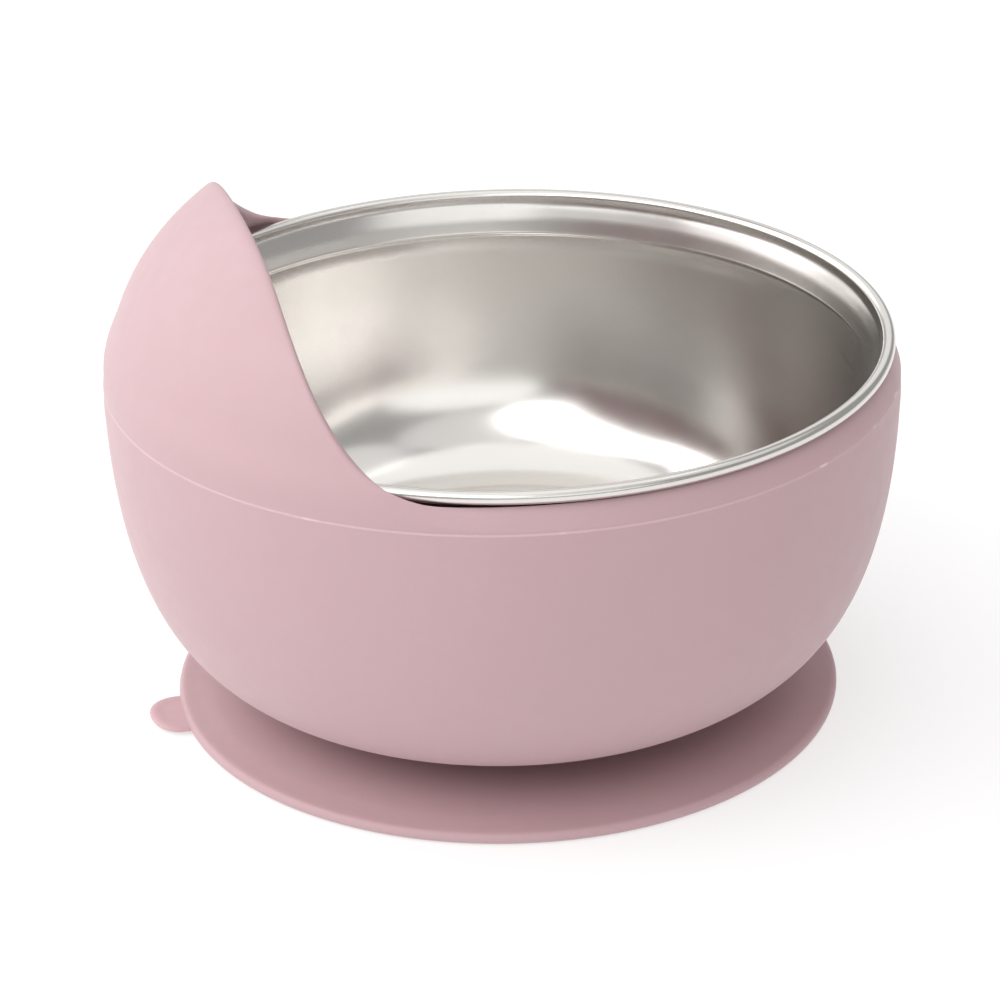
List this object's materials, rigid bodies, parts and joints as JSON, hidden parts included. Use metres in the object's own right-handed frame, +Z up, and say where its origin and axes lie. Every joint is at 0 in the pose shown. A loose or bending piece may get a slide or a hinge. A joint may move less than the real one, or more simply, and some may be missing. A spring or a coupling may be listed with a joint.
{
  "type": "suction bowl",
  "caption": "Toddler bowl: silicone outer bowl with curved splash hood on a wide suction disc with pull tab, and a rolled-rim stainless-steel insert.",
  "frame": {"origin": "on the table, under the centre of the bowl", "axes": "+Z up; +Y towards the splash hood and the pull tab, -Y towards the low side that faces the child; symmetric about X = 0"},
  "size_m": [0.1298, 0.1298, 0.0901],
  "materials": {
    "silicone": "matte dusty-pink moulded silicone",
    "stainless_steel": "satin drawn stainless steel"
  },
  "bodies": {
    "base": {"suction_disc": "silicone"},
    "tab": {"pull_tab": "silicone"},
    "bowl": {"outer_bowl": "silicone"},
    "hood": {"splash_hood": "silicone"},
    "insert": {"steel_insert": "stainless_steel"}
  },
  "joints": [
    {"name": "tab_peel", "type": "hinge", "parent": "base", "child": "tab", "pos_m": [0, 0.0561, 0.0013], "axis": [1, 0, 0], "range_deg": [0, 70], "stiffness_Nm_per_rad": 0.001},
    {"name": "press_to_seal", "type": "slide", "parent": "base", "child": "bowl", "axis": [0, 0, 1], "range_m": [-0.0015, 0], "stiffness_N_per_m": 6000, "springref_m": 0.0015},
    {"name": "hood_flex", "type": "hinge", "parent": "bowl", "child": "hood", "pos_m": [0, 0.0635, 0.0616], "axis": [-1, 0, 0], "range_deg": [0, 40], "stiffness_Nm_per_rad": 0.3, "deforming": ["splash_hood"]},
    {"name": "insert_lift", "type": "slide", "parent": "bowl", "child": "insert", "axis": [0, 0, 1], "range_m": [0, 0.085]}
  ]
}
